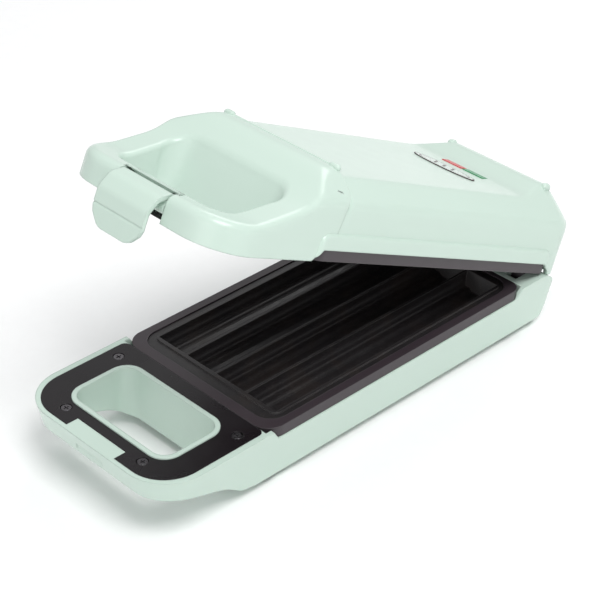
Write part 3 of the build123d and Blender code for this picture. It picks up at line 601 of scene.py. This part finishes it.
def lid_handle_grid():
    """Rows go round the finger opening; columns run up the wall, over the top and down the funnel.

    The outer and the inner edge are quarter circles: height = top - r (1 - sin a)
    at r (1 - cos a) from the edge.
    """
    half = HALF_WIDTH - 0.8
    slot_end = LATCH_HALF / (half - FRONT_RADIUS)
    shares = [0, 0.2, 0.4, slot_end - 0.0005, slot_end + 0.0005, 0.70, 0.85, 1.0]
    outer, inward = loop_of(half, LID_FRONT, PANEL_FRONT + 1.0, FRONT_RADIUS, 9.0, shares, 44, 22)
    hole, towards = loop_of(*OPENING, 9.0, 9.0, shares, 44, 22)
    at_rear = np.clip(-inward[:, 1], 0, 1)
    radius = 4.0 + 1.5 * np.clip(inward[:, 1], 0, 1) - 2.0 * at_rear
    roll = 3.0
    top = handle_height(*outer.T)
    outer = outer + inward * (0.02 * top)[:, None]
    under_panel = np.minimum(bevel_height(outer[:, 0], (61.0, 33.0)), PANEL_RISE) - 2.5
    low = trim_line(outer[:, 1]) + np.clip(2 * at_rear, 0, 1) * (under_panel - trim_line(outer[:, 1]))
    flare = 0.09 + 0.16 * np.clip(-towards[:, 1], 0, 1)
    rim = hole - towards * (flare * handle_height(*hole.T))[:, None]
    near_rim = rim - towards * roll

    columns = [(outer + inward * LIP, low), (outer, low)]
    for share in (0.05, 0.4, 0.8):
        columns.append((outer, low + (top - radius - low) * share))
    for turn in np.linspace(0, math.pi / 2, 9):
        plan = outer + inward * (radius * (1 - math.cos(turn)))[:, None]
        columns.append((plan, handle_height(*plan.T) - radius * (1 - math.sin(turn))))
    edge_columns = len(columns)
    start = outer + inward * radius[:, None]
    top_shares = np.linspace(0, 1, 30)[1:-1]
    for share in top_shares:
        plan = start + (near_rim - start) * share
        columns.append((plan, handle_height(*plan.T)))
    for turn in np.linspace(0, math.pi / 2, 9):
        plan = near_rim + towards * (roll * math.sin(turn))
        columns.append((plan, handle_height(*plan.T) - roll * (1 - math.cos(turn))))
    rim_low = handle_height(*rim.T) - roll
    for share in np.linspace(0, 1, 12)[1:]:
        columns.append((rim + (hole - rim) * share, rim_low + (FUNNEL_LOW - rim_low) * share))
    columns.append((hole - towards * LIP, np.full(len(hole), FUNNEL_LOW)))
    grid = np.stack([np.concatenate([plan, height[:, None]], 1) for plan, height in columns], 1)

    rows = slice(0, 4)
    slot = latch_slot(edge_columns)
    grid[rows, :edge_columns, 1:] = slot
    middle = slice(edge_columns, edge_columns + len(top_shares))
    grid[rows, middle, 1] = slot[-1, 0] + (near_rim[rows, 1:] - slot[-1, 0]) * top_shares
    grid[rows, middle, 2] = handle_height(grid[rows, middle, 0], grid[rows, middle, 1])
    return np.concatenate([grid, grid[::-1][1:-1] * np.array([-1, 1, 1])])


def latch_slot(count):
    """Edge of the handle behind the latch: straight up, then round the room in which the latch swings."""
    y, z = LATCH_AXIS
    turns = np.linspace(math.radians(-20), math.asin((GRIP_RISE - z) / LATCH_SWING), count - 2)
    arc = np.stack([y + LATCH_SWING * np.cos(turns), z + LATCH_SWING * np.sin(turns)], 1)
    foot = np.array([[arc[0, 0], FUNNEL_LOW], [arc[0, 0], FUNNEL_LOW + 1.0]])
    return np.concatenate([foot, arc])


def bend(before, corner, after, reach, steps=6):
    """The same quadratic bend as in rounded_run, for one corner of many sections at once."""
    t = np.linspace(0, 1, steps)[:, None, None]
    start = corner + (before - corner) * reach / np.linalg.norm(before - corner, axis=1, keepdims=True)
    end = corner + (after - corner) * reach / np.linalg.norm(after - corner, axis=1, keepdims=True)
    return (1 - t) ** 2 * start + 2 * t * (1 - t) * corner + t**2 * end


def lid_body_grid():
    """Rows are cross sections along the lid's side outline.

    Columns run over the section: wall, bevel, panel, bevel, wall.
    """
    outline = rounded_run(
        [
            (PANEL_FRONT - 7, PANEL_RISE),
            (HINGE_Y - 29, PANEL_RISE),
            (HINGE_Y - 4, RIDGE_RISE),
            (HINGE_Y + 3.2, RIDGE_RISE),
            (HINGE_Y + 8.6, 39),
            (LID_REAR - 2.0, 22),
            (LID_REAR, 9),
            (LID_REAR - 5, 1.2),
        ],
        [9, 3, 3.6, 6, 6, 5],
    )
    y, top = evenly(outline, 1.6).T
    past = np.maximum.accumulate(y) - (LID_REAR - REAR_RADIUS)
    half = HALF_WIDTH - 1.4 - REAR_RADIUS + np.sqrt(REAR_RADIUS**2 - np.clip(past, 0, REAR_RADIUS) ** 2)
    low = np.minimum(trim_line(np.maximum.accumulate(y)), top - 0.5)
    tuck = 4.0 * np.clip((PANEL_FRONT - y) / 3.0, 0, 1)
    top = top - tuck
    knee = np.maximum(np.minimum(33.0, top - 4.0) - tuck, low + 0.2)
    panel = half - 1.3 - (top - knee) / BEVEL_SLOPE
    foot = np.stack([half, low], 1)
    shoulder = np.stack([half - 1.3, knee], 1)
    crest = np.stack([panel, top], 1)
    centre = np.stack([np.zeros_like(top), top], 1)
    room = np.linalg.norm(crest - shoulder, axis=1, keepdims=True)
    rows = [foot - [LIP, 0], foot, foot + 0.2 * (shoulder - foot), foot + 0.6 * (shoulder - foot)]
    wall_room = np.minimum(room, knee[:, None] - low[:, None])
    rows += list(bend(foot, shoulder, crest, np.minimum(4.0, 0.4 * wall_room)))
    rows += [shoulder + share * (crest - shoulder) for share in (0.45, 0.55)]
    rows += list(bend(shoulder, crest, centre, np.minimum(2.4, 0.4 * room)))
    rows += [crest + share * (centre - crest) for share in (0.2, 0.4, 0.6, 0.8)]
    right = np.stack(rows, 1)
    middle = centre[:, None]
    left = right[:, ::-1] * np.array([-1, 1])
    section = np.concatenate([right, middle, left], 1)
    along = np.broadcast_to(y[:, None, None], section.shape[:2] + (1,))
    return np.concatenate([section[..., :1], along, section[..., 1:]], -1)


def lid_pad_grid(side):
    """The swelling over the dark trim, d inwards from a rounded outline.

    Its face is wall + proud * sqrt(1 - (1 - d / r)^2).
    """
    ends = (BODY_FRONT + 1.5, TRIM_REAR - 4.0)
    y = np.concatenate([np.linspace(-4, 14, 40), np.linspace(16, ends[1] - ends[0] - 14, 60)[:-1]])
    y = ends[0] + np.concatenate([y, np.linspace(ends[1] - ends[0] - 14, ends[1] - ends[0] + 2, 20)])
    y = y[:, None]
    low = trim_line(y)
    z = low + np.linspace(0, 1, 26)[None, :] * (18.5 - low)
    inside_y = (ends[1] - ends[0]) / 2 - PAD_RADIUS
    across = np.abs(y - sum(ends) / 2) - inside_y
    above = (z - PAD_TOP) + PAD_RADIUS
    outside = np.hypot(np.maximum(across, 0), np.maximum(above, 0))
    beyond = outside + np.minimum(np.maximum(across, above), 0)
    inwards = np.clip((PAD_RADIUS - beyond) / 2.6, 0, 1)
    wall = HALF_WIDTH - 1.45 - 0.045 * z
    x = wall - 0.5 + (HALF_WIDTH - 0.02 - wall + 0.5) * np.sqrt(1 - (1 - inwards) ** 2)
    grid = np.stack([side * x, np.broadcast_to(y, x.shape), z], -1)
    return grid if side > 0 else grid[::-1]


def turned_grid(start, end, profile, steps=24):
    """A surface of revolution about a line; profile rows are (share of the line, radius)."""
    start, end = np.array(start, float), np.array(end, float)
    axis = (end - start) / np.linalg.norm(end - start)
    side = np.cross(axis, [0, 0, 1.0])
    up = np.cross(side, axis)
    turns = np.linspace(0, 2 * math.pi, steps, endpoint=False)
    ring = np.cos(turns)[:, None] * side + np.sin(turns)[:, None] * up
    share, radius = np.array(profile, float).T
    centre = start + (end - start) * share[:, None]
    return centre[:, None] + radius[:, None, None] * ring[None]


def capsule(length, radius, waist=None, waist_share=0.0):
    """Profile of a rod with round ends, thinner between the ends when a waist radius is given."""
    turns = np.linspace(0, math.pi / 2, 7)
    end = radius / length
    rows = list(zip(end * (1 - np.cos(turns)), radius * np.sin(turns)))
    if waist:
        rows += [(waist_share, radius), (waist_share + end * 0.4, waist)]
    return rows + [(1 - share, r) for share, r in rows[::-1]]


def knuckle_grid(half, outline, centre):
    """An outline in y and z carried along x, its ends drawn in to a point at the centre."""
    outline = np.array(outline, float)
    centre = np.array(centre, float)
    rows = []
    stations = [(-half, 0.0), (-half, 0.93), (0.6 - half, 1.0)]
    stations += [(-x, shrink) for x, shrink in stations[::-1]]
    for x, shrink in stations:
        points = centre + (outline - centre) * shrink
        rows.append(np.concatenate([np.full((len(points), 1), x), points], 1))
    return np.stack(rows)


def build_lid():
    """The lid's shell, its swellings, rounded stops and hinge knuckle."""
    mint = finish_of_slot["mint_plastic"]

    def lid_piece(name, grid, **more):
        return surface_piece(name, rest_place(grid), mint, "lid", "mint_plastic", **more)

    shell = lid_piece("lid_body_shell", lid_body_grid(), thickness=BODY_WALL)
    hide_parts("lid_housing")
    lid_piece("lid_handle_shell", lid_handle_grid(), around=(True, False), thickness=HANDLE_WALL)
    for side, word in ((1, "right"), (-1, "left")):
        lid_piece(f"lid_swelling_{word}", lid_pad_grid(side), thickness=SWELLING_WALL)
        end = side * (RIDGE_STOP_X + 0.01)
        stop_z = RIDGE_RISE - 1.6
        stop = turned_grid((end, HINGE_Y - 4, stop_z), (end, HINGE_Y + 3.2, stop_z), capsule(7.2, 2.6))
        lid_piece(f"ridge_stop_{word}", stop, around=(False, True))
    rail_y = PANEL_FRONT - 2.2
    rail = capsule(2 * RAIL_HALF, 2.1, 0.9, 0.07)
    rail_z = COLLAR_RISE - 0.3
    rail = turned_grid((-RAIL_HALF, rail_y, rail_z), (RAIL_HALF, rail_y, rail_z), rail)
    lid_piece("collar_rail", rail, around=(False, True))
    turns = np.linspace(math.pi, 2 * math.pi + math.acos(KNUCKLE_BACK / KNUCKLE_RADIUS), 19)
    outline = [
        (HINGE_Y + KNUCKLE_RADIUS * math.cos(t), -HINGE_DROP + KNUCKLE_RADIUS * math.sin(t)) for t in turns
    ]
    outline += [
        (HINGE_Y + KNUCKLE_BACK, KNUCKLE_LOW),
        (LID_REAR - 3, KNUCKLE_LOW),
        (LID_REAR - 3, KNUCKLE_HIGH),
        (HINGE_Y - KNUCKLE_RADIUS, KNUCKLE_HIGH),
    ]
    knuckle = knuckle_grid(KNUCKLE_HALF, outline, (HINGE_Y, 4.0))
    lid_piece("lid_hinge_knuckle", knuckle, around=(False, True))


build_lid()


def floor_finish():
    """Pale matt paper with a barely visible fibre."""
    finish = Finish("floor_finish")
    fibre = finish.noise(120.0, 5.0, 0.5)
    finish.set(
        Base_Color=finish.blend(finish.spread(fibre, 0.0, 1.0), (0.95, 0.95, 0.95), (0.965, 0.965, 0.965)),
        Roughness=finish.spread(fibre, 0.75, 0.9),
        Specular_IOR_Level=0.2,
    )
    return finish.material


def add_floor():
    """A flat square sheet at z = 0: an even grid of points over x and y."""
    across = np.linspace(-FLOOR_SIZE / 2, FLOOR_SIZE / 2, 13)
    x, y = (g.ravel() for g in np.meshgrid(across, across, indexing="ij"))
    z = np.zeros_like(x)
    count = len(across)
    corner = np.add.outer(np.arange(count - 1) * count, np.arange(count - 1)).ravel()
    quads = np.stack([corner, corner + count, corner + count + 1, corner + 1], 1)
    mesh = bpy.data.meshes.new("floor")
    mesh.from_pydata(np.stack([x, y, z], 1).tolist(), [], quads.tolist())
    mesh.materials.append(floor_finish())
    floor = bpy.data.objects.new("floor", mesh)
    bpy.context.scene.collection.objects.link(floor)


def add_lamp(name, place, aim, size, watts):
    """A soft square lamp at place that faces aim."""
    lamp = bpy.data.lights.new(name, "AREA")
    lamp.shape = "SQUARE"
    lamp.size = size
    lamp.energy = watts
    holder = bpy.data.objects.new(name, lamp)
    holder.location = place
    holder.rotation_euler = (Vector(aim) - Vector(place)).to_track_quat("-Z", "Y").to_euler()
    bpy.context.scene.collection.objects.link(holder)


def add_world():
    """Even pale light from all round."""
    world = bpy.data.worlds.new("studio")
    world.use_nodes = True
    background = world.node_tree.nodes["Background"]
    background.inputs["Color"].default_value = (*WORLD_COLOUR, 1.0)
    background.inputs["Strength"].default_value = WORLD_STRENGTH
    bpy.context.scene.world = world


def add_camera():
    """The camera, from the front right and above."""
    lens = bpy.data.cameras.new("camera")
    lens.lens = CAMERA_LENS
    lens.sensor_width = SENSOR_WIDTH
    camera = bpy.data.objects.new("camera", lens)
    camera.location = CAMERA_PLACE
    camera.rotation_euler = Vector(CAMERA_LOOK).to_track_quat("-Z", "Y").to_euler()
    bpy.context.scene.collection.objects.link(camera)
    bpy.context.scene.camera = camera


add_floor()
add_world()
middle = tuple((low + high) / 2 for low, high in zip(*cad_box))
add_lamp("key", (0.9, -0.2, 2.0), middle, 1.0, 28.0)
add_lamp("front", (0.6, -1.8, 0.8), middle, 1.2, 5.0)
add_lamp("back", (-0.6, 1.4, 1.3), middle, 1.0, 8.0)
add_camera()
bpy.context.scene.view_settings.view_transform = "Standard"
bpy.context.scene.view_settings.look = "None"
